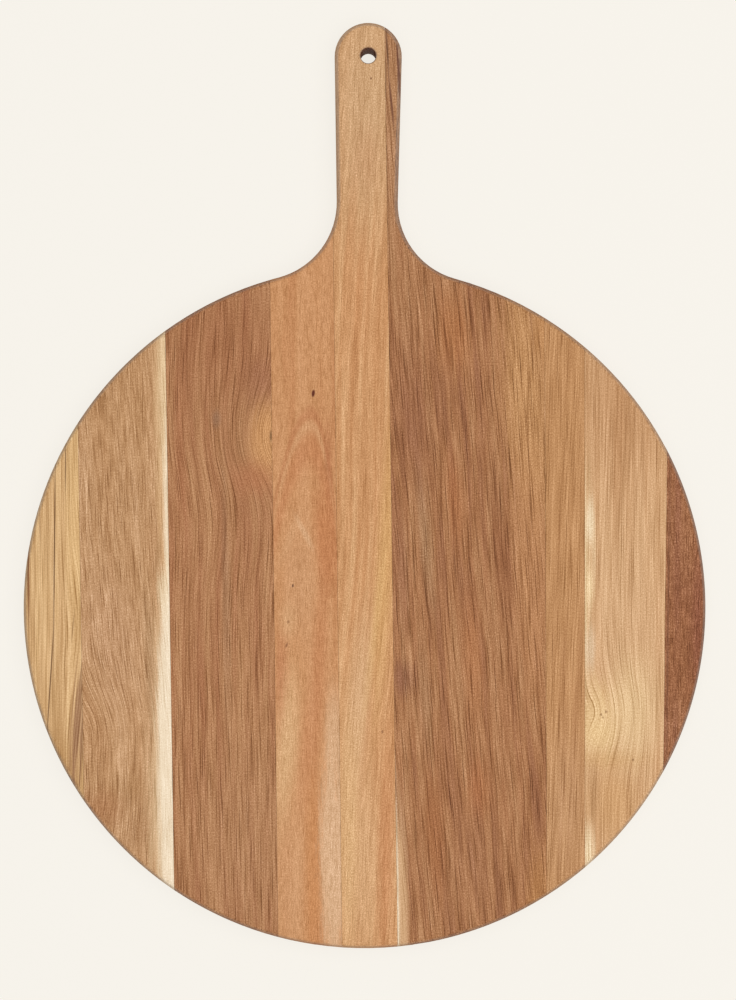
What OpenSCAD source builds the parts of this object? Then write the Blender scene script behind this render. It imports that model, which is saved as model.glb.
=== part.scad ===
// Round serving board with a tapered handle, edge-glued from nine acacia staves.
// Millimetres. The origin is the centre of the disc on the underside, +z is up
// through the thickness and +y points along the handle.
// The outline is one run of tangent arcs and lines: disc, neck fillet, tapered
// side, full-round handle end, and back. The same round-over follows all of it.

/* [Board] */
// Diameter of the round serving face
disc_d = 350; // [300:1:390]
// Length over everything, from the foot of the disc to the handle's end
board_l = 475; // [455:1:520]
// Thickness of the planed board
board_t = 15; // [12:0.5:22]
// Radius of the round-over on every outer edge, top and bottom
edge_r = 3; // [1:0.25:5]

/* [Handle] */
// Width of the handle at its rounded end, where it is widest
handle_w = 34.5; // [30:0.5:44]
// Angle by which each side of the handle draws in towards the neck
handle_taper = 1.2; // [0:0.1:2]
// Radius of the hollow curve that joins the handle to the disc
neck_r = 40; // [20:1:50]

/* [Hanging hole] */
// Diameter of the drilled hanging hole
hole_d = 8; // [5:0.5:10]
// Width of the small bevel that breaks the hole's two rims
hole_bevel = 0.5; // [0.2:0.1:1]
// How far the hole sits from the centre of the handle's rounded end, towards the disc
hole_set_in = 0; // [0:1:30]

/* [Staves] */
// Showing width of the left rim stave, as are all widths on the disc's centre line
stave_a_w = 29.7; // [20:0.1:40]
// Width of the second stave from the left
stave_b_w = 45.5; // [36:0.1:55]
// How far the fourth stave reaches past the foot of the neck's left curve
stave_d_past = 4.3; // [2:0.1:12]
// Width of the fifth stave, which runs up the handle and carries the hole
stave_e_w = 28.2; // [27:0.1:34]
// Where the seam on the right of that stave crosses the disc's centre line
stave_e_right = 14.5; // [13:0.1:15.5]
// Width of the seventh stave, the narrowest
stave_g_w = 20; // [14:0.1:28]
// Width of the eighth stave
stave_h_w = 41.2; // [32:0.1:50]
// Showing width of the right rim stave
stave_i_w = 21; // [14:0.1:30]
// Thickness of the glue line between two staves
glue_line = 0.1; // [0.05:0.05:0.3]

/* [Seam leans] */
// Lean of the first seam from the left, in degrees, its top towards -x, as are all leans
lean_ab = 1.3; // [-2:0.1:2]
// Lean of the second seam
lean_bc = 1.3; // [-2:0.1:2]
// Lean of the third seam
lean_cd = 1.1; // [-1:0.1:2]
// Lean of the fourth seam, which leaves the board at the neck
lean_de = 1.1; // [0.9:0.1:2]
// Lean of the fifth seam, which runs up the handle
lean_ef = 1.2; // [0.8:0.1:1.5]
// Lean of the sixth seam
lean_fg = 0.6; // [-2:0.1:2]
// Lean of the seventh seam
lean_gh = 0.4; // [-2:0.1:2]
// Lean of the last seam
lean_hi = -0.3; // [-2:0.1:2]

/* [Hidden] */
$fn = 96;

// Outline, drawn in the handle's own frame: the centre of the handle's round end is the
// origin and the handle's right side runs along y, which the taper then leans.
disc_r = disc_d / 2;
end_r = handle_w / 2;
end_y = board_l - disc_r - end_r;
// Centre of the disc in that frame
disc_at = end_y * [sin(handle_taper), -cos(handle_taper)];
// Length of the straight side, down to where the neck's hollow curve touches it
side_l = -disc_at[1] - sqrt(pow(disc_r + neck_r, 2) - pow(end_r + neck_r - disc_at[0], 2));
// Centre of that curve, which also touches the disc on the line between both centres
hollow_at = [end_r + neck_r, -side_l];
meet = (hollow_at - disc_at) / norm(hollow_at - disc_at);
across = [meet[1], -meet[0]];
// A point on that line well past the disc
meet_low = disc_at - 2 * disc_r * meet;
// Foot of the curve on the disc's rim, from the disc's centre, with the taper's lean
foot_x = disc_r * (meet[0] * cos(handle_taper) + meet[1] * sin(handle_taper));
foot_y = disc_r * (meet[1] * cos(handle_taper) - meet[0] * sin(handle_taper));

// Seams. The rim staves are laid from the rims inwards and the handle's staves from the
// centre line outwards, so the third and the sixth stave take up what the disc leaves.
// The third seam stays clear of the foot of the neck's curve.
seam_ab = stave_a_w - disc_r;
seam_bc = seam_ab + stave_b_w;
seam_cd = foot_y * tan(lean_cd) - foot_x - stave_d_past;
seam_ef = stave_e_right;
seam_de = seam_ef - stave_e_w;
seam_hi = disc_r - stave_i_w;
seam_gh = seam_hi - stave_h_w;
seam_fg = seam_gh - stave_g_w;

// Cutting bodies reach this far past the board
past = board_l;

// Half of the board's section, from x = 0 to a rounded edge at x = w
module edge_section(w) {
    square([w - edge_r, board_t]);
    translate([0, edge_r])
        square([w, board_t - 2 * edge_r]);
    for (z = [edge_r, board_t - edge_r])
        translate([w - edge_r, z])
            circle(edge_r);
}

// The same section with its rounded edge at x = near and its plain side at x = far
module hollow_section(near, far) {
    translate([far, 0])
        mirror([1, 0])
            edge_section(far - near);
}

// A plain cutting body with this outline, taller than the board
module cutter(points) {
    translate([0, 0, -1])
        linear_extrude(board_t + 2)
            polygon(points);
}

// Moves to a point, whole thousandths first, so that tangent arcs stay tangent
module place(point) {
    near = [for (v = point) round(v * 1000) / 1000];
    translate(near)
        translate(point - near)
            children();
}

// The whole disc
module disc() {
    place(disc_at)
        rotate_extrude()
            edge_section(disc_r);
}

// The disc up to the line on which the neck's hollow curve begins
module disc_side() {
    intersection() {
        disc();
        cutter([meet_low, hollow_at, hollow_at + past * across, meet_low + past * across]);
    }
}

// The neck, turned about the centre of its hollow curve
module neck() {
    intersection() {
        place(hollow_at)
            rotate_extrude()
                hollow_section(neck_r, neck_r + disc_r + handle_w);
        cutter([meet_low, [meet_low[0] - past, -side_l], hollow_at]);
    }
}

// The handle's straight part
module straight() {
    rotate([90, 0, 0])
        linear_extrude(side_l)
            translate([-end_r, 0])
                edge_section(2 * end_r);
}

// The handle's full-round end
module round_end() {
    intersection() {
        rotate_extrude()
            edge_section(end_r);
        cutter([[-handle_w, 0], [handle_w, 0], [handle_w, handle_w], [-handle_w, handle_w]]);
    }
}

// From the handle's own frame to the board's, for the right side or the left one
module in_board(left) {
    mirror([left ? 1 : 0, 0, 0])
        translate([0, end_y, 0])
            rotate([0, 0, -handle_taper])
                children();
}

// The drilled hole with its two bevelled rims
module hanging_hole() {
    hole_r = hole_d / 2;
    translate([0, end_y - hole_set_in, 0]) {
        translate([0, 0, -1])
            cylinder(h = board_t + 2, r = hole_r);
        translate([0, 0, -hole_bevel])
            cylinder(h = 2 * hole_bevel, r1 = hole_r + 2 * hole_bevel, r2 = hole_r);
        translate([0, 0, board_t - hole_bevel])
            cylinder(h = 2 * hole_bevel, r1 = hole_r, r2 = hole_r + 2 * hole_bevel);
    }
}

// Point at height y on a seam that crosses the centre line at x, moved by side
function on_seam(x, lean, y, side) = [x - y * tan(lean) + side * glue_line / 2, y];

// The space between two seams, less half a glue line at each
module between(x0, lean0, x1, lean1) {
    cutter([
        on_seam(x0, lean0, -past, 1),
        on_seam(x1, lean1, -past, -1),
        on_seam(x1, lean1, past, -1),
        on_seam(x0, lean0, past, 1)
    ]);
}

// A stave to the left or the right of the centre line
module side_stave(left, x0, lean0, x1, lean1) {
    intersection() {
        in_board(left) {
            disc_side();
            neck();
            straight();
            round_end();
        }
        between(x0, lean0, x1, lean1);
    }
}

// The stave on the centre line. Its right edge is a seam all the way, so the left side
// of the outline is the only one it shows.
module centre_stave(x0, lean0, x1, lean1) {
    difference() {
        union() {
            for (i = [0 : 3])
                intersection() {
                    in_board(true) {
                        if (i == 0) disc();
                        if (i == 1) neck();
                        if (i == 2) straight();
                        if (i == 3) round_end();
                    }
                    between(x0, lean0, x1, lean1);
                }
        }
        hanging_hole();
    }
}

// Left rim stave, straight-grained and honey-coloured
module stave_a() {
    color("#D8B07A")
        side_stave(true, -past, 0, seam_ab, lean_ab);
}

// Tan stave with pale sapwood on its right edge
module stave_b() {
    color("#C79C6C")
        side_stave(true, seam_ab, lean_ab, seam_bc, lean_bc);
}

// Red-brown stave with half a knot on its right edge
module stave_c() {
    color("#B58258")
        side_stave(true, seam_bc, lean_bc, seam_cd, lean_cd);
}

// Orange stave with a pin knot, ending in the left of the neck
module stave_d() {
    color("#CF9A68")
        side_stave(true, seam_cd, lean_cd, seam_de, lean_de);
}

// Pale orange stave on the centre line, which runs up the handle and carries the hole
module stave_e() {
    color("#D0A577")
        centre_stave(seam_de, lean_de, seam_ef, lean_ef);
}

// Wide dark stave that makes the handle's right edge
module stave_f() {
    color("#A87650")
        side_stave(false, seam_ef, lean_ef, seam_fg, lean_fg);
}

// Narrow golden stave
module stave_g() {
    color("#C4935F")
        side_stave(false, seam_fg, lean_fg, seam_gh, lean_gh);
}

// Light tan stave with a swirl of figure
module stave_h() {
    color("#D4AA7C")
        side_stave(false, seam_gh, lean_gh, seam_hi, lean_hi);
}

// Right rim stave, dark red-brown
module stave_i() {
    color("#93593A")
        side_stave(false, seam_hi, lean_hi, past, 0);
}

stave_a();
stave_b();
stave_c();
stave_d();
stave_e();
stave_f();
stave_g();
stave_h();
stave_i();
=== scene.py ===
import math
from dataclasses import dataclass
from typing import NamedTuple

import bpy
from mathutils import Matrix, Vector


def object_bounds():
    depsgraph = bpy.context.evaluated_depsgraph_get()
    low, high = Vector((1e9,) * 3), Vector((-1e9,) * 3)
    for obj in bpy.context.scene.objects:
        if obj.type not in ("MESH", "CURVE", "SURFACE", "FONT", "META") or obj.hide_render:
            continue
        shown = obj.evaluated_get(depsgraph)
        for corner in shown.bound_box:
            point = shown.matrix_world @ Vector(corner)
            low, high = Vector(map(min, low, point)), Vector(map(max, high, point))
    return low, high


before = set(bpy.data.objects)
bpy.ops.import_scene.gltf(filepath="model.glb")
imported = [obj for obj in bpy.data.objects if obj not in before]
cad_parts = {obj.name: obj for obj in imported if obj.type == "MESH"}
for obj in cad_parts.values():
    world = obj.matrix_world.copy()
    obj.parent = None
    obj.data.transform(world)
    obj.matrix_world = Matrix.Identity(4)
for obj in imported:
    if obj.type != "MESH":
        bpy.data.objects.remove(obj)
cad_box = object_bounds()

bl_info = {
    "name": "Acacia serving board",
    "version": (1, 0, 0),
    "blender": (4, 5, 0),
    "location": "3D View > Sidebar > Serving board",
    "description": "Oiled acacia for the nine staves of a round serving board, and its stage",
    "category": "Material",
}

MM = 0.001

# Noise lies about this middle, and nearly all of it in this range
NOISE_MIDDLE = 0.5
NOISE_RANGE = (0.3, 0.7)
# The grain wanders in cells of this width and length, in millimetres
WANDER = (28, 95)
# It also moves aside by this share of the depth in the wood
TILT = 0.35
# Half depth of an area or a bend and half length of the log, in millimetres: so large that
# the figure runs straight through the wood
THROUGH = 1000
LOG_L = 1e6
# Pores stand this many pore widths apart and fade in between these shares of that distance
PORE_GAP = 2.4
PORE_FADE = (0.5, 0.12)
# What one step of shade leaves of white: oiled acacia reddens as it darkens
SHADE = "#B7A48B"
# Sapwood shows this share less of the figure
SAP_CALM = 0.65
# Faces turn into end grain between these shares of their normal along the fibres
END_TURN = (0.45, 0.95)
# Painted shade and grazing reflection of the routed edge: the grey mixed into it
EDGE_SHADE_GREY = "#92877E"
# The grey sets in at the first of these upright shares of a face's normal, full at the second
EDGE_TURN = (0.985, 0.75)
# Between these it falls off again, to the share of it that an upright side keeps
SIDE_TURN = (0.5, 0.0)
SIDE_SHARE = 0.5
# End grain shows this share less of the grey
END_CALM = 0.8
# The handle begins between these distances from the centre of the disc, in millimetres
HANDLE_FROM = (175, 215)
# The oil film, and how much rougher than the face the pores are
OIL_IOR = 1.5
PORE_ROUGH = 0.2
# Relief of the fibres beside that of the pores, and how strongly both show in the sheen
FIBRE_RELIEF = 0.25
RELIEF = 0.5
# The floor lies this far below the board, so that no two faces coincide
FLOOR_DROP = 0.05 * MM
# The floor's shadow fades out between these distances from the board's middle, in metres
SHADOW_FADE = (0.4, 1.4)


def linear(colour):
    """Linear red, green and blue of an sRGB hex colour."""
    parts = [int(colour[i:i + 2], 16) / 255 for i in (1, 3, 5)]
    return tuple(p / 12.92 if p <= 0.04045 else ((p + 0.055) / 1.055) ** 2.4 for p in parts)


def opaque(colour):
    """The same with full alpha, for a colour socket."""
    return (*linear(colour), 1.0)


class Area(NamedTuple):
    """A soft oval of another colour, in millimetres from the centre of the disc, handle up."""

    name: str
    x: float
    y: float
    wide: float         # half width
    long: float         # half length
    lean: float         # degrees, its top to the left
    colour: str
    share: float        # how much of the colour shows
    soft: float = 0.8   # softness of the edge, as a share of the half width
    fray: float = 0.4   # how far the fibres fray the edge, likewise


class Bend(NamedTuple):
    """A place where the grain swings aside, in the same millimetres."""

    x: float
    y: float
    wide: float         # reach across the grain
    long: float         # reach along it
    swing: float        # how far it swings to the right


class Arch(NamedTuple):
    """Cathedral figure, where the saw ran along the rings, in the same millimetres."""

    x: float            # of the apex
    y: float
    drop: float         # of the right leg, per square millimetre
    right: float        # width of that leg beside the left one


@dataclass
class Figure:
    """What the log gave one stave. Depths are in steps of shade, lengths in millimetres."""

    material: str
    dark: str                   # heartwood of the darker growth bands
    light: str                  # heartwood of the lighter ones
    pith: tuple                 # x and z of the log's heart, for the rings in the end grain
    lean: float                 # degrees by which the grain leans, its top to the left
    sway: float                 # how far the grain wanders
    band: float                 # width and length of a growth band
    band_l: float
    streak: float               # depth and length of the streaks
    streak_l: float
    fibre: float                # depth and length of the fine grain lines
    fibre_l: float
    pore: float                 # depth and length of the open pores
    pore_l: float
    grit: float                 # depth of the sanded fibre ends
    mottle: float = 0.0         # depth of the cross mottling
    bends: tuple = ()
    arch: Arch | None = None
    arches: tuple = ()          # areas along the arch, x from its middle and y from its apex
    tints: tuple = ()           # areas of other heartwood
    sap: tuple = ()             # sapwood
    marks: tuple = ()           # veins, knots and specks, which cover the pores


CREAM = "#F1DBBC"
PALE = "#E0C096"
VEIN = "#5E3818"
SPECK = "#5A3420"

FIGURES = {
    "stave_a": Figure(
        "honey acacia, planed and oiled", dark="#CAA170", light="#DEB682",
        pith=(-150, -45), lean=0.5, sway=2.0, band=2.5, band_l=240, streak=0.26, streak_l=120,
        fibre=0.55, fibre_l=30, pore=0.8, pore_l=40, grit=0.24,
        bends=(Bend(-144, -10, 8, 60, 6),),
        tints=(
            Area("golden edge", -148.5, 44, 4.5, 56, 1, "#E0B87E", 0.5),
            Area("brown foot", -152, -86, 14, 24, 0, "#B18451", 0.65),
            Area("purple band", -146.5, -65, 3.4, 27, -4, "#9A6E4F", 0.85, 0.7, 2.4),
            Area("honey left", -164.5, 10, 4, 28, 0, "#DFB885", 0.6),
            Area("rim", -172, -20, 3, 41, 0, "#C59C6B", 0.3),
        ),
        marks=(
            Area("long vein", -159, 27, 0.34, 47, -0.2, VEIN, 0.9, 0.7, 0.5),
            Area("long vein, foot", -160.7, -40, 0.34, 27, -3.2, VEIN, 0.9, 0.7, 0.5),
            Area("rim vein", -172.2, 12, 0.5, 19, 0.8, "#7A4420", 0.9, 0.7, 0.4),
            Area("short vein", -153.6, 72, 0.3, 13, 0, VEIN, 0.8, 0.7, 0.5),
            Area("faint vein", -166.5, 42, 0.3, 9, 1.5, "#85582F", 0.5, 0.7, 0.6),
            Area("low vein", -149.3, -11, 0.35, 7, -5, "#7A5028", 0.55, 0.7, 0.6),
        ),
    ),
    "stave_b": Figure(
        "tan acacia with sapwood, planed and oiled", dark="#B8895E", light="#CCA076",
        pith=(-112, 60), lean=4.0, sway=5.0, band=7.0, band_l=110, streak=0.16, streak_l=40,
        fibre=0.68, fibre_l=11, pore=1.2, pore_l=20, grit=0.5, mottle=0.1,
        bends=(
            Bend(-138, -62, 20, 20, 7), Bend(-140, -97, 24, 26, 7), Bend(-122, -72, 30, 45, 4),
        ),
        tints=(
            Area("tan head", -123, 98, 22, 32, 0, "#B6875A", 0.5),
            Area("pink heart", -129, -17, 13, 31, 8, "#C89B75", 0.5),
            Area("grey streaks", -110, -27, 2.5, 31, 3, "#A78059", 0.55, 0.8, 0.8),
            Area("mottled foot", -123, -93, 11, 7, 0, "#A97C50", 0.5, 0.8, 0.8),
            Area("dark foot", -115, -116, 9, 12, 0, "#AD8058", 0.5, 0.8, 0.8),
            Area("red foot", -134, -104, 9, 9, 25, "#AB764D", 0.7, 0.8, 0.6),
            Area("brown dashes", -105.5, 29, 1.5, 11, -8, "#A37950", 0.6, 0.8, 1.0),
        ),
        sap=(
            Area("pale edge, top", -104, 100, 4.2, 62, 1.3, "#DFB98B", 0.6, 0.5, 0.8),
            Area("pale edge, middle", -101.8, 36, 3.6, 44, 1.3, "#DBAF80", 0.55, 0.6, 1.2),
            Area("pale edge, low", -99.5, -25, 7.5, 34, 1, PALE, 0.6, 0.5, 0.8),
            Area("pale edge, foot", -98.5, -98, 10.5, 62, 0.5, PALE, 0.75, 0.35, 0.7),
            Area("sapwood, top", -102.3, 115, 3.6, 62, 1.3, "#EDD0A6", 0.66, 0.5, 0.8),
            Area("sapwood, middle", -100.2, 45, 3, 45, 1.3, CREAM, 0.85, 0.4, 1.0),
            Area("sapwood, low", -99, 7, 6, 19, 1, "#EFD6B0", 0.85, 0.4, 0.8),
            Area("sapwood, foot", -97, -72, 8.3, 95, 0.5, "#F3DFC2", 0.95, 0.25, 0.5),
        ),
    ),
    "stave_c": Figure(
        "russet acacia with a side knot, planed and oiled", dark="#A26B46", light="#B6845A",
        pith=(-74, -30), lean=1.3, sway=5.0, band=5.0, band_l=100, streak=0.06, streak_l=45,
        fibre=0.62, fibre_l=20, pore=1.7, pore_l=30, grit=0.58, mottle=0.05,
        bends=(
            Bend(-70, 95, 40, 40, -4), Bend(-66, 45, 40, 32, 4),
            Bend(-43, 87, 20, 21, -11), Bend(-45, 87, 8, 13, -5),
        ),
        tints=(
            Area("dark head", -66, 135, 32, 30, 0, "#9F6642", 0.5),
            Area("dark head, right", -54, 113, 8, 12, 0, "#976045", 0.5),
            Area("red left", -95, 75, 3, 40, 1.3, "#A56944", 0.5),
            Area("olive ring", -56, 85, 15, 24, 0, "#B07E55", 0.6),
            Area("golden knot", -50, 85, 8.5, 18, 0, "#CF9863", 0.85, 0.6, 0.4),
            Area("red below knot", -57, 66, 9, 8, 0, "#AB6A45", 0.55, 0.8, 0.5),
            Area("grey band", -71, 8, 1.8, 56, 1.2, "#956E52", 0.35, 0.8, 0.8),
            Area("grey spot", -76.5, 96, 2, 4, 0, "#8E7260", 0.4),
            Area("light foot", -62, -120, 22, 45, 0, "#B6865E", 0.5),
        ),
        marks=(
            Area("knot crack", -48.6, 87.5, 0.5, 2.8, 0, "#5F4022", 0.75, 0.6, 0.2),
        ),
    ),
    "stave_d": Figure(
        "orange acacia with a pin knot, planed and oiled", dark="#C08557", light="#CB9466",
        pith=(-28, -28), lean=0.5, sway=5.0, band=6.0, band_l=110, streak=0.08, streak_l=40,
        fibre=0.38, fibre_l=4, pore=0.4, pore_l=9, grit=0.38, mottle=0.1,
        arch=Arch(-28, 103, 0.3, 0.67),
        arches=(
            Area("outer arch", 0, -4, 18, 3.6, 0, "#B4744A", 0.62, 0.9, 0.5),
            Area("pale arch", 0, -10.5, 9, 2.8, 0, "#D6A578", 0.55, 0.9, 0.5),
            Area("inner arch", 0, -22, 20, 9, 0, "#BB774B", 0.55, 0.9, 0.5),
        ),
        tints=(
            Area("right leg", -19, 74, 1.5, 18, 2, "#AC6A42", 0.6),
            Area("pale point, right", -31, 38, 1.3, 8.5, 28, "#DDB086", 0.75),
            Area("pale point, left", -38.5, 35, 2, 13, -21, "#D3A275", 0.4),
            Area("dark flank", -20, 33, 5.5, 26, 4, "#BB784A", 0.75, 0.6, 0.5),
            Area("dark flank, low", -23, -25, 3.5, 40, -2, "#BE7E52", 0.6, 0.8, 0.6),
            Area("pale heart", -33, 14, 7, 26, 0, "#CB996E", 0.5),
            Area("left foot of heart", -42, -40, 3, 24, 0, "#BC7A54", 0.5, 0.8, 0.6),
            Area("pale eye", -39, -7, 4, 8, 0, "#D3A577", 0.5),
            Area("golden column", -39.5, -73, 5, 36, -4, "#D9AE7E", 0.75, 0.8, 0.7),
            Area("tan foot", -37, -138, 8, 34, 0, "#CE9B6F", 0.6, 0.8, 0.6),
            Area("orange slope", -28, -72, 4, 30, -5, "#C6855A", 0.4, 0.8, 0.8),
            Area("orange column", -25.5, -136, 4, 42, 0, "#C6844F", 0.55, 0.7, 0.9),
            Area("pink band", -15, -128, 6.8, 54, 1, "#DAB18A", 0.85, 0.4, 1.0),
            Area("pink band, top", -15, -66, 4, 22, 0, "#D6AC84", 0.7, 0.7, 0.5),
        ),
        marks=(
            Area("pin knot", -27, 109.5, 0.8, 1.8, -8, "#5A2412", 1.0, 0.4, 0.1),
            Area("speck", -36.8, 11, 0.5, 0.9, -15, SPECK, 0.85, 0.5, 0.1),
            Area("eye speck", -39, -7.5, 0.6, 0.8, 0, "#8A5C38", 0.7, 0.5, 0.1),
            Area("low speck", -39.8, -19.5, 0.5, 1.3, -20, "#80502F", 0.75, 0.5, 0.1),
        ),
    ),
    "stave_e": Figure(
        "pale orange acacia, planed and oiled", dark="#C08858", light="#D5A474",
        pith=(4, -50), lean=-3.0, sway=4.0, band=3.5, band_l=150, streak=0.22, streak_l=60,
        fibre=0.38, fibre_l=8, pore=0.45, pore_l=20, grit=0.48, mottle=0.05,
        bends=(Bend(3, 30, 60, 65, 4),),
        tints=(
            Area("tan handle", -1, 264, 18, 62, 0, "#CBA277", 0.85),
            Area("red handle", 0, 230, 5, 15, 0, "#C29065", 0.5),
            Area("orange neck", -3, 155, 6, 32, 0, "#C38858", 0.5),
            Area("golden edge", 10.5, 25, 4, 62, -3, "#D6A869", 0.5),
            Area("golden streak", 4.5, -18, 1.8, 42, -7, "#DAAE74", 0.5),
            Area("pale middle", -3, -50, 5, 40, -4, "#DBB185", 0.65),
            Area("pale foot", 0, -130, 7, 45, 0, "#D9AD7F", 0.6),
            Area("golden foot", -8, -115, 4.5, 55, 0, "#DCB07D", 0.7),
            Area("orange foot", 12, -126, 4, 48, 0, "#C58759", 0.75, 0.9, 1.1),
        ),
        marks=(
            Area("bored wall", 0, 282.75, 4.1, 4.1, 0, "#733B1C", 0.95, 0.03, 0.0),
            Area("handle speck", 1.5, 271, 0.5, 0.6, 0, "#7A4C2C", 0.8, 0.5, 0.1),
            Area("foot speck", 9.5, -63.5, 0.5, 0.8, 0, "#80502F", 0.7, 0.5, 0.1),
        ),
    ),
    "stave_f": Figure(
        "brown acacia, planed and oiled", dark="#986442", light="#B17F56",
        pith=(42, 55), lean=5.0, sway=5.0, band=4.5, band_l=70, streak=0.15, streak_l=45,
        fibre=0.7, fibre_l=16, pore=1.9, pore_l=32, grit=0.64, mottle=0.05,
        tints=(
            Area("golden right", 83, 108, 12, 64, 4, "#C08E5C", 0.85, 0.7, 0.8),
            Area("golden head", 92, 150, 5, 18, 0, "#BF8955", 0.6, 0.8, 0.8),
            Area("golden foot", 90, -148, 5, 22, 0, "#B9834E", 0.6, 0.8, 0.8),
            Area("golden right, low", 85, 15, 7, 56, 3, "#BC8659", 0.7, 0.8, 0.8),
            Area("orange top", 45, 141, 7, 18, 5, "#B27344", 0.55),
            Area("orange middle", 46, 56, 4.5, 20, 5, "#AA693E", 0.5),
            Area("orange low", 56, -30, 4, 30, 4, "#AF7146", 0.55),
            Area("orange foot", 59, -92, 4.5, 12, 5, "#B17045", 0.55),
            Area("light foot", 50, -135, 20, 22, 4, "#AC7953", 0.4),
            Area("red foot", 37, -120, 4.5, 28, 4, "#9F6237", 0.55),
            Area("grey tan", 31, 35, 3, 31, 6, "#AB835D", 0.6),
            Area("grey tan, low", 31, -45, 3, 25, 4, "#A97E59", 0.5),
            Area("purple cluster", 20, -36, 5, 8, 0, "#8C5B43", 0.65, 0.8, 1.0),
            Area("purple left", 19, 20, 3, 30, 3, "#946043", 0.55, 0.8, 0.8),
            Area("dark top", 24, 100, 8, 35, 6, "#966243", 0.5, 0.8, 0.6),
            Area("dark right", 70, 28, 4, 34, 6, "#8F5A37", 0.6, 0.8, 0.8),
            Area("tan handle", 12.5, 255, 6, 58, 0, "#B78860", 0.66),
        ),
        sap=(
            Area("pale foot", 19.8, -162, 3.3, 55, 1.3, "#D9B084", 0.8, 0.6, 0.6),
            Area("sapwood edge", 17.4, -160, 1.4, 66, 1.3, CREAM, 0.9, 0.5, 0.4),
        ),
        marks=(
            Area("handle vein", 9.7, 286, 0.5, 11, 4, "#5F3A22", 0.9, 0.7, 0.5),
            Area("handle vein, low", 12, 259, 0.45, 12, 6, "#643828", 0.85, 0.7, 0.6),
            Area("handle vein, right", 15.6, 275, 0.6, 13, 4, "#6A4234", 0.85, 0.7, 0.5),
            Area("handle seam", 9.2, 272, 0.4, 8, 1, "#8A6040", 0.6, 0.7, 0.6),
        ),
    ),
    "stave_g": Figure(
        "golden acacia, planed and oiled", dark="#B38053", light="#C49263",
        pith=(112, -70), lean=-1.5, sway=3.0, band=3.5, band_l=140, streak=0.05, streak_l=45,
        fibre=0.56, fibre_l=24, pore=1.15, pore_l=36, grit=0.46,
        tints=(
            Area("tan head", 103, 85, 14, 60, 0, "#B78454", 0.5),
            Area("light foot", 103, -105, 14, 36, 0, "#C69970", 0.4),
        ),
    ),
    "stave_h": Figure(
        "light acacia with a burl swirl, planed and oiled", dark="#C49467", light="#D6AB7F",
        pith=(128, -24), lean=0.2, sway=3.0, band=4.0, band_l=170, streak=0.07, streak_l=60,
        fibre=0.52, fibre_l=28, pore=0.9, pore_l=40, grit=0.4,
        bends=(Bend(131, -56, 14, 24, 6), Bend(119, -52, 6, 12, 3)),
        tints=(
            Area("light foot", 132, -25, 22, 66, 0, "#D5AB80", 0.7),
            Area("tan head", 131, 107, 22, 42, 0, "#BC8B5F", 0.75),
            Area("golden swirl", 121, -64, 7, 6, 0, "#D6B279", 0.5),
            Area("brown band", 127, -76.5, 15, 4.5, 0, "#BF8E57", 0.55, 0.8, 1.0),
            Area("knot tail", 122.5, -46, 1.2, 7, 0, "#BF8D57", 0.6),
            Area("golden foot", 128, -98, 10, 16, 0, "#CF9F6B", 0.55),
            Area("pale arcs", 137, -52, 11, 22, 0, "#E8C797", 0.7, 0.9, 0.8),
            Area("pale swirl", 119, -57, 9, 17, 0, "#E8C591", 0.75, 0.8, 0.9),
            Area("cream seam", 113, 20, 0.6, 50, 0.4, "#EACFA1", 0.6, 0.6, 0.6),
            Area("cream flash", 114.4, 24, 1.2, 40, 0, "#E7C89B", 0.55, 0.8, 1.4),
            Area("flash, inner", 117, 36, 1, 16, 1, "#E7CCA3", 0.45, 0.8, 1.6),
            Area("flash, top", 115, 44, 1.7, 10, 0, "#F5DFBC", 0.85, 0.8, 1.4),
            Area("flash, middle", 115.2, 12, 1.6, 9, 0, "#EFD2A4", 0.8, 0.8, 1.4),
            Area("flash, grey", 115.6, -20, 2.4, 9, 0, "#DDC4A4", 0.55, 0.8, 1.2),
            Area("dark streaks", 118.5, -98, 2, 16, 1, "#AC8055", 0.5, 0.8, 1.4),
            Area("flash, foot", 115.2, -124, 2.8, 12, 0, "#F3DAB2", 0.9, 0.8, 1.0),
        ),
        marks=(
            Area("knot speck", 121.5, -54, 0.6, 0.7, 0, "#8A5F36", 0.7, 0.6, 0.2),
            Area("knot speck", 122.5, -55.5, 0.5, 0.5, 0, "#8A5F36", 0.6, 0.6, 0.2),
            Area("knot speck", 124, -52.5, 0.7, 0.6, 0, "#8A5F36", 0.7, 0.6, 0.2),
            Area("swirl speck", 138, -77, 0.5, 0.6, 0, "#7A5230", 0.7, 0.6, 0.2),
        ),
    ),
    "stave_i": Figure(
        "red-brown acacia, planed and oiled", dark="#8C573A", light="#9F6943",
        pith=(140, -30), lean=0.5, sway=3.0, band=5.0, band_l=120, streak=0.14, streak_l=30,
        fibre=0.8, fibre_l=6, pore=1.2, pore_l=9, grit=0.9, mottle=0.22,
        tints=(
            Area("light head", 163, 42, 9, 26, 0, "#9C6843", 0.5),
            Area("dark middle", 164, -36, 10, 42, 0, "#85502E", 0.4),
            Area("purple streak", 160, 40, 1.6, 50, 0, "#88523D", 0.4, 0.8, 0.8),
            Area("purple rim", 170.5, -5, 2.6, 35, 0, "#834A34", 0.6, 0.8, 0.5),
            Area("dark foot", 159.5, -68, 1.2, 14, 0, "#78422F", 0.5, 0.8, 0.5),
            Area("light foot", 160, -62, 6, 16, 0, "#A87351", 0.4),
        ),
        marks=(
            Area("seam shadow", 155.4, -5, 0.6, 90, -0.3, "#5E3826", 0.45, 0.8, 0.3),
        ),
    ),
}


def heart_colour(name, where, colour):
    """Property for the middle colour of one stave's heartwood."""
    return bpy.props.FloatVectorProperty(
        name=name, description=f"Heartwood of {where}", subtype="COLOR", size=3,
        min=0.0, max=1.0, default=linear(colour))


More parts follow.
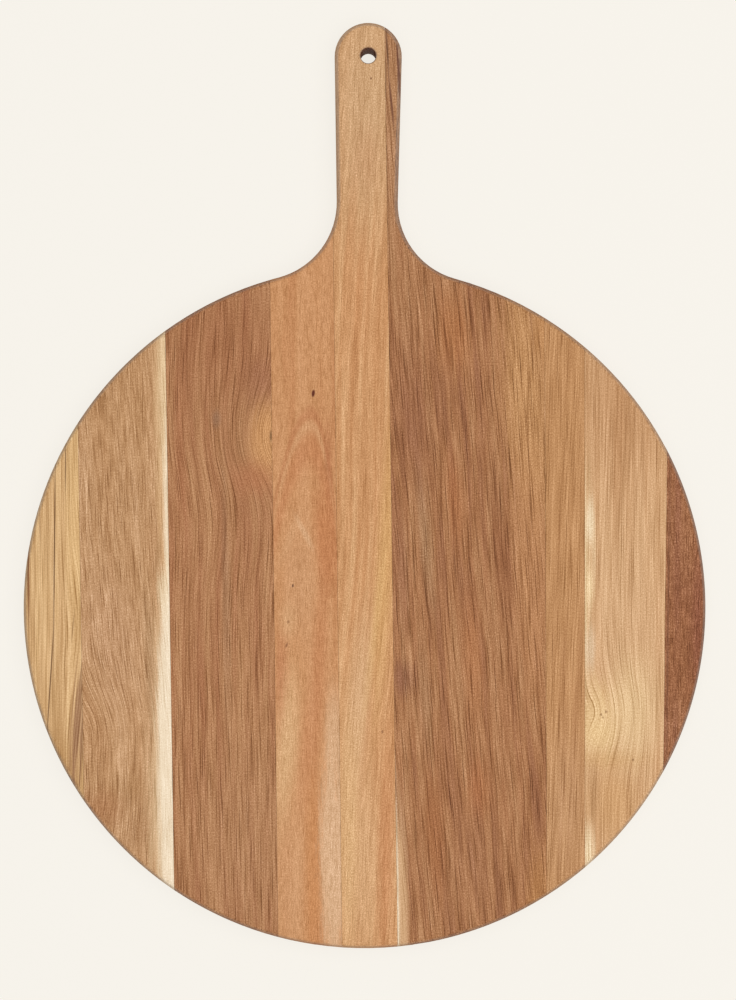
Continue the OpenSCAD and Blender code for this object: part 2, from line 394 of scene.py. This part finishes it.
def figure_size(name, description, millimetres):
    """Property for the size of one kind of figure in the wood."""
    return bpy.props.FloatProperty(
        name=name, description=description, unit="LENGTH", default=millimetres * MM,
        min=0.05 * MM, max=20 * MM)


def level(name, description, default):
    """Property for a level between none and full."""
    return bpy.props.FloatProperty(
        name=name, description=description, subtype="FACTOR", default=default,
        min=0.0, max=1.0)


def stage_size(name, description, metres):
    """Property for a length on the stage."""
    return bpy.props.FloatProperty(
        name=name, description=description, unit="LENGTH", default=metres)


class BoardLook(bpy.types.PropertyGroup):
    """Colours of the staves and the finish of the wood."""

    stave_a: heart_colour("Left rim stave", "the left rim stave", "#D5AB79")
    stave_b: heart_colour("Second stave", "the stave with the sapwood", "#C09368")
    stave_c: heart_colour("Third stave", "the stave with the side knot", "#AC7850")
    stave_d: heart_colour("Fourth stave", "the stave with the pin knot", "#C58D5E")
    stave_e: heart_colour("Handle stave", "the stave that carries the hole", "#CB9666")
    stave_f: heart_colour("Sixth stave", "the wide dark stave", "#A57048")
    stave_g: heart_colour("Seventh stave", "the narrow golden stave", "#BC8A5B")
    stave_h: heart_colour("Eighth stave", "the stave with the swirl", "#CDA073")
    stave_i: heart_colour("Right rim stave", "the right rim stave", "#96603D")
    # Real pores are 0.15 mm wide and fibres finer still, less than the picture shows,
    # so the pores, the fine grain lines and the sanded grit are drawn coarser.
    pore_w: figure_size("Pore width", "Width of an open pore on a planed face", 0.19)
    fibre_w: figure_size("Grain line", "Spacing of the fine grain lines", 0.45)
    streak_w: figure_size("Streak width", "Width of a streak", 1.4)
    grit_w: figure_size("Grit width", "Width of a sanded fibre end", 0.5)
    grit_l: figure_size("Grit length", "Length of a sanded fibre end", 0.8)
    mottle_w: figure_size("Mottle width", "Width of a patch of cross mottling", 5.0)
    mottle_l: figure_size("Mottle length", "Length of a patch of cross mottling", 2.5)
    ring_w: figure_size("Ring width", "Width of a growth ring in the end grain", 2.2)
    pore_depth: figure_size("Pore depth", "How deep the open pores lie under the oil", 0.08)
    roughness: level("Roughness", "Roughness of the oiled face between the pores", 0.55)
    gloss: level("Gloss", "Specular level of the thin oil film", 0.15)
    end_grain: level("End grain", "Steps of shade by which oil darkens the end grain", 0.4)
    # Painted shade and grazing reflection: how much grey goes on the rounded edges and sides
    edge: level("Edge", "Share of grey on the rounded edge and the sides", 0.42)
    # Painted shade: how much further in the edge grey reaches on the handle, standing in for a
    # wider rounding
    handle_edge_shade: bpy.props.FloatProperty(
        name="Handle sanding", default=2.0, min=1.0, max=6.0,
        description="How much harder the handle's edges were sanded than the disc's")


class StageLook(bpy.types.PropertyGroup):
    """Floor, light and camera."""

    floor: bpy.props.FloatVectorProperty(
        name="Floor", description="Colour of the floor and backdrop", subtype="COLOR",
        size=3, min=0.0, max=1.0, default=linear("#F7F3EB"))
    floor_size: stage_size("Floor size", "Side of the square floor", 12.0)
    shadow: level("Shadow", "How much of the floor's shadow shows", 0.12)
    light_size: stage_size("Light size", "Side of the square overhead softbox", 2.4)
    light_height: stage_size("Light height", "Height of the softbox over the floor", 1.7)
    light_aside: stage_size(
        "Light aside", "How far the softbox hangs to the right of the board", 0.45)
    light_power: bpy.props.FloatProperty(
        name="Light power", description="Power of the softbox", unit="POWER", default=35.7)
    ambient: level("Ambient", "Level of the light from all round", 0.3)
    camera_height: stage_size(
        "Camera height", "Height of the lens over the serving face", 1.0)
    field: stage_size("Field", "Height of the frame at the serving face", 0.512)
    centre: bpy.props.FloatVectorProperty(
        name="Centre", description="Point of the serving face under the lens",
        subtype="TRANSLATION", size=2, default=(1.4 * MM, 55.1 * MM))
    roll: bpy.props.FloatProperty(
        name="Roll", description="Turn of the camera about its own axis",
        subtype="ANGLE", default=math.radians(0.38))


def empty_tree(owner):
    """Node tree of a new material or world, without the nodes that it starts with."""
    owner.use_nodes = True
    owner.node_tree.nodes.clear()
    return owner.node_tree


def add(tree, kind, *inputs, out=None, **settings):
    """Adds a node with its settings, fills or links its inputs in order, and gives the
    output of that name, or else the first."""
    made = tree.nodes.new("ShaderNode" + kind)
    for name, value in settings.items():
        setattr(made, name, value)
    for socket, value in zip([s for s in made.inputs if s.enabled], inputs):
        if isinstance(value, bpy.types.NodeSocket):
            tree.links.new(value, socket)
        elif value is not None:
            socket.default_value = value
    if out:
        return made.outputs[out]
    return next((s for s in made.outputs if s.enabled), None)


def seen_rays(tree):
    """One for what the camera sees directly, mirrored or through glass, else zero."""
    seen = add(tree, "LightPath", out="Is Camera Ray")
    rays = seen.node.outputs
    for name in ("Is Glossy Ray", "Is Transmission Ray"):
        seen = add(tree, "Math", seen, rays[name], operation="MAXIMUM")
    return seen


def cells(tree, place, wide, long):
    """A place counted in cells of so many millimetres across and along the grain."""
    return add(tree, "VectorMath", place, (1 / wide, 1 / long, 1 / wide), operation="MULTIPLY")


def lay_grain(tree, figure, place, axes):
    """Grain: lines of equal depth in the log, leaning, wandering and swinging round knots.
    Gives the place across and along these lines, and how far they wander."""
    wander = add(tree, "TexNoise", cells(tree, place, *WANDER), 1.0)
    slope = math.tan(math.radians(figure.lean))
    across = add(tree, "VectorMath", place, (1, slope, TILT), operation="DOT_PRODUCT")
    across = add(tree, "Math", wander, figure.sway, across, operation="MULTIPLY_ADD")
    for bend in figure.bends:
        spot = add(tree, "Mapping", place, (bend.x, bend.y, 0), None,
                   (bend.wide, bend.long, THROUGH), vector_type="TEXTURE")
        reach = add(tree, "VectorMath", spot, spot, operation="DOT_PRODUCT")
        swing = add(tree, "Math", math.exp(-1), reach, operation="POWER")
        across = add(tree, "Math", swing, -bend.swing, across, operation="MULTIPLY_ADD")
    return add(tree, "CombineXYZ", across, axes["Y"], axes["Z"]), wander


def heartwood(tree, figure, heart, band):
    """Heartwood of one stave, from its dark growth bands to its light ones."""
    colour = add(tree, "ValToRGB", band)
    stops = colour.node.color_ramp.elements
    for stop, position, tone in zip(stops, NOISE_RANGE, (figure.dark, figure.light)):
        stop.position = position
        stop.color = opaque(tone)
    stops.new(NOISE_MIDDLE).color = (*heart, 1.0)
    return colour


def cathedral(tree, figure, axes, wander):
    """The place counted from the middle and the apex of the cathedral figure."""
    arch = figure.arch
    right = add(tree, "Math", axes["X"], -arch.x, operation="ADD")
    left = add(tree, "Math", right, -arch.right, operation="MULTIPLY")
    aside = add(tree, "Math", right, left, operation="MAXIMUM")
    bow = add(tree, "Math", aside, aside, operation="MULTIPLY")
    bow = add(tree, "Math", bow, arch.drop, axes["Y"], operation="MULTIPLY_ADD")
    bow = add(tree, "Math", wander, figure.sway, bow, operation="MULTIPLY_ADD")
    bow = add(tree, "Math", bow, -arch.y - NOISE_MIDDLE * figure.sway, operation="ADD")
    return add(tree, "CombineXYZ", aside, bow, 0.0)


def lay_areas(tree, colour, place, fray, areas):
    """Lays areas of other colours over a colour, frayed along the fibres. Gives the new
    colour and how far the areas cover it."""
    covered = 0.0
    for area in areas:
        spot = add(tree, "Mapping", place, (area.x, area.y, 0), (0, 0, math.radians(area.lean)),
                   (area.wide, area.long, THROUGH), vector_type="TEXTURE")
        reach = add(tree, "VectorMath", spot, operation="LENGTH")
        reach = add(tree, "Math", fray, area.fray, reach, operation="MULTIPLY_ADD")
        cover = add(tree, "MapRange", reach, 1 + area.soft, 1 - area.soft, 0, area.share,
                    interpolation_type="SMOOTHSTEP")
        colour = add(tree, "Mix", cover, colour, opaque(area.colour), data_type="RGBA",
                     label=area.name)
        covered = add(tree, "Math", covered, cover, operation="MAXIMUM")
    return colour, covered


def open_pores(tree, figure, look, grain):
    """Open pores: short dashes along the grain, some deeper than others."""
    gap = PORE_GAP * look.pore_w / MM
    cell = add(tree, "TexVoronoi", cells(tree, grain, gap, figure.pore_l), 1.0).node.outputs
    pore = add(tree, "MapRange", cell["Distance"], *PORE_FADE, 0, 1,
               interpolation_type="SMOOTHSTEP")
    deep = add(tree, "SeparateColor", cell["Color"], out="Red")
    return add(tree, "Math", pore, deep, operation="MULTIPLY")


def growth_rings(tree, figure, look, place):
    """Rings round the heart of the log, in steps of shade."""
    x, z = figure.pith
    wide = look.ring_w / MM
    ring = add(tree, "Mapping", place, (x, 0, z), None, (wide, LOG_L, wide),
               vector_type="TEXTURE")
    ring = add(tree, "VectorMath", ring, operation="LENGTH")
    ring = add(tree, "TexNoise", ring, 1.0, noise_dimensions="1D")
    return add(tree, "MapRange", ring, *NOISE_RANGE, 0.0, 2 * look.end_grain)


def painted_edge_shade(tree, look, axes, normal, end):
    """Share of grey that paints shade and a grazing reflection on the rounded edges, less on
    the upright sides and the end grain, and reaching further in on the handle for a wider
    rounding."""
    upright = add(tree, "Math", normal["Z"], operation="ABSOLUTE")
    reach = add(tree, "MapRange", axes["Y"], *HANDLE_FROM, 1.0, look.handle_edge_shade)
    edge = add(tree, "Math", upright, reach, operation="POWER")
    edge = add(tree, "MapRange", edge, *EDGE_TURN, 0.0, look.edge,
               interpolation_type="SMOOTHSTEP")
    side = add(tree, "MapRange", upright, *SIDE_TURN, 1.0, SIDE_SHARE)
    less = add(tree, "Math", end, -END_CALM, 1.0, operation="MULTIPLY_ADD")
    less = add(tree, "Math", side, less, operation="MULTIPLY")
    return add(tree, "Math", edge, less, operation="MULTIPLY")


def acacia(figure, heart, look):
    """Acacia, planed, sanded and oiled: growth bands, streaks and short open pores that
    follow the grain, darker end grain, and a low sheen that the pores break."""
    material = bpy.data.materials.new(figure.material)
    tree = empty_tree(material)
    place = add(tree, "VectorMath", add(tree, "TexCoord", out="Object"), (1 / MM,) * 3,
                operation="MULTIPLY")
    axes = add(tree, "SeparateXYZ", place).node.outputs
    grain, wander = lay_grain(tree, figure, place, axes)

    # Figure of each kind, stretched along the grain, the wider kinds with more detail
    noise = {}
    for kind, wide, long, detail in (
            ("band", figure.band, figure.band_l, 2.0),
            ("streak", look.streak_w / MM, figure.streak_l, 2.0),
            ("fibre", look.fibre_w / MM, figure.fibre_l, 1.0),
            ("grit", look.grit_w / MM, look.grit_l / MM, 0.0),
            ("mottle", look.mottle_w / MM, look.mottle_l / MM, 1.0)):
        noise[kind] = add(tree, "TexNoise", cells(tree, grain, wide, long), 1.0, detail)
    fray = add(tree, "Math", noise["streak"], noise["fibre"], operation="ADD")
    fray = add(tree, "Math", fray, -2 * NOISE_MIDDLE, operation="ADD")

    # Heartwood in growth bands, then the areas of other wood
    colour = heartwood(tree, figure, heart, noise["band"])
    if figure.arch:
        bow = cathedral(tree, figure, axes, wander)
        colour = lay_areas(tree, colour, bow, fray, figure.arches)[0]
    colour = lay_areas(tree, colour, place, fray, figure.tints)[0]
    colour, sap = lay_areas(tree, colour, place, fray, figure.sap)

    # Shade: every kind of figure darkens the wood in the same way, sapwood less
    pore = open_pores(tree, figure, look, grain)
    shade = add(tree, "Math", pore, figure.pore, operation="MULTIPLY")
    for kind in ("streak", "fibre", "grit", "mottle"):
        depth = getattr(figure, kind)
        centred = add(tree, "Math", noise[kind], -NOISE_MIDDLE, operation="ADD")
        shade = add(tree, "Math", centred, -2 * depth, shade, operation="MULTIPLY_ADD")
    calm = add(tree, "Math", sap, -SAP_CALM, 1.0, operation="MULTIPLY_ADD")
    shade = add(tree, "Math", shade, calm, operation="MULTIPLY")

    # End grain drinks more oil and goes darker, ring by ring
    normal = add(tree, "SeparateXYZ", add(tree, "NewGeometry", out="Normal")).node.outputs
    end = add(tree, "Math", normal["Y"], operation="ABSOLUTE")
    end = add(tree, "MapRange", end, *END_TURN, 0.0, 1.0, interpolation_type="SMOOTHSTEP")
    rings = growth_rings(tree, figure, look, place)
    shade = add(tree, "Math", rings, end, shade, operation="MULTIPLY_ADD")
    shade = add(tree, "Gamma", opaque(SHADE), shade)
    colour = add(tree, "Mix", 1.0, colour, shade, data_type="RGBA", blend_type="MULTIPLY")

    # Painted shade and grazing reflection on the rounded edges, as grey, and then the marks,
    # which stay dark in them
    edge = painted_edge_shade(tree, look, axes, normal, end)
    colour = add(tree, "Mix", edge, colour, opaque(EDGE_SHADE_GREY), data_type="RGBA")
    colour = lay_areas(tree, colour, place, fray, figure.marks)[0]

    # The routed and bored edges stay rougher than the planed faces, as do the pores
    rough = add(tree, "MapRange", pore, 0, 1, look.roughness, look.roughness + PORE_ROUGH)
    rough = add(tree, "Math", edge, rough, operation="ADD")
    height = add(tree, "Math", fray, FIBRE_RELIEF, pore, operation="MULTIPLY_ADD")
    bump = add(tree, "Bump", RELIEF, look.pore_depth, None, height, invert=True)
    shader = add(tree, "BsdfPrincipled", colour, 0.0, rough, OIL_IOR)
    shader.node.inputs["Specular IOR Level"].default_value = look.gloss
    tree.links.new(bump, shader.node.inputs["Normal"])
    add(tree, "OutputMaterial", shader)
    return material


class SERVINGBOARD_OT_finish_stave(bpy.types.Operator):
    """Gives one stave its oiled acacia"""

    bl_idname = "serving_board.finish_stave"
    bl_label = "Finish stave"

    stave: bpy.props.EnumProperty(
        name="Stave", description="Stave that gets its wood",
        items=[(name, name, figure.material) for name, figure in FIGURES.items()])

    def execute(self, context):
        look = context.scene.board_look
        wood = acacia(FIGURES[self.stave], tuple(getattr(look, self.stave)), look)
        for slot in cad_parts[self.stave].material_slots:
            slot.material = wood
        return {"FINISHED"}


class SERVINGBOARD_OT_set_stage(bpy.types.Operator):
    """Sets the floor, the light and the camera"""

    bl_idname = "serving_board.set_stage"
    bl_label = "Set stage"

    def execute(self, context):
        scene = context.scene
        look = scene.stage_look
        scene.view_settings.view_transform = "Standard"
        self.make_floor(scene, look)
        self.make_light(scene, look)
        self.make_camera(scene, look)
        return {"FINISHED"}

    def make_floor(self, scene, look):
        """A plain painted floor. Seen directly it is mostly as pale as it is painted, and
        keeps a share of the board's shadow."""
        half = look.floor_size / 2
        mesh = bpy.data.meshes.new("floor")
        corners = [(-half, -half, 0), (half, -half, 0), (half, half, 0), (-half, half, 0)]
        mesh.from_pydata(corners, [], [(0, 1, 2, 3)])
        floor = bpy.data.objects.new("floor", mesh)
        floor.location.z = -FLOOR_DROP
        scene.collection.objects.link(floor)
        paint = bpy.data.materials.new("matt floor paint")
        tree = empty_tree(paint)
        place = add(tree, "TexCoord", out="Object")
        away = add(tree, "VectorMath", place, operation="LENGTH")
        plain = add(tree, "MapRange", away, *SHADOW_FADE, 1 - look.shadow, 1.0)
        plain = add(tree, "Math", seen_rays(tree), plain, operation="MULTIPLY")
        colour = (*look.floor, 1.0)
        matt = add(tree, "BsdfDiffuse", colour)
        glow = add(tree, "Emission", colour, 1.0)
        add(tree, "OutputMaterial", add(tree, "MixShader", plain, matt, glow))
        mesh.materials.append(paint)

    def make_light(self, scene, look):
        """One large overhead softbox and an even surrounding."""
        light = bpy.data.lights.new("overhead softbox", "AREA")
        light.size = look.light_size
        light.energy = look.light_power
        softbox = bpy.data.objects.new("overhead softbox", light)
        softbox.location = (look.light_aside, 0, look.light_height)
        softbox.visible_camera = False
        scene.collection.objects.link(softbox)
        world = bpy.data.worlds.new("pale surrounding")
        tree = empty_tree(world)
        around = add(tree, "Background", (1, 1, 1, 1), look.ambient)
        pale = add(tree, "Background", (*look.floor, 1.0), 1.0)
        add(tree, "OutputWorld", add(tree, "MixShader", seen_rays(tree), around, pale))
        scene.world = world

    def make_camera(self, scene, look):
        """Straight above, turned by the small roll of the picture. The sensor's width lies
        along the height of the frame, its longer side."""
        data = bpy.data.cameras.new("camera")
        data.lens = data.sensor_width * look.camera_height / look.field
        camera = bpy.data.objects.new("camera", data)
        top = cad_box[1].z
        camera.location = (*look.centre, top + look.camera_height)
        camera.rotation_euler = (0, 0, look.roll)
        scene.collection.objects.link(camera)
        scene.camera = camera


class SERVINGBOARD_PT_look(bpy.types.Panel):
    """Sizes and colours of the board, and its operators"""

    bl_label = "Serving board"
    bl_space_type = "VIEW_3D"
    bl_region_type = "UI"
    bl_category = "Serving board"

    def draw(self, context):
        for group in (context.scene.board_look, context.scene.stage_look):
            box = self.layout.box()
            for name in group.__annotations__:
                box.prop(group, name)
        self.layout.operator(SERVINGBOARD_OT_finish_stave.bl_idname)
        self.layout.operator(SERVINGBOARD_OT_set_stage.bl_idname)


CLASSES = (BoardLook, StageLook, SERVINGBOARD_OT_finish_stave, SERVINGBOARD_OT_set_stage,
           SERVINGBOARD_PT_look)


def register():
    for cls in CLASSES:
        bpy.utils.register_class(cls)
    bpy.types.Scene.board_look = bpy.props.PointerProperty(type=BoardLook)
    bpy.types.Scene.stage_look = bpy.props.PointerProperty(type=StageLook)


def unregister():
    del bpy.types.Scene.stage_look
    del bpy.types.Scene.board_look
    for cls in reversed(CLASSES):
        bpy.utils.unregister_class(cls)


def main():
    register()
    for name in FIGURES:
        bpy.ops.serving_board.finish_stave(stave=name)
    bpy.ops.serving_board.set_stage()


if __name__ == "__main__":
    main()
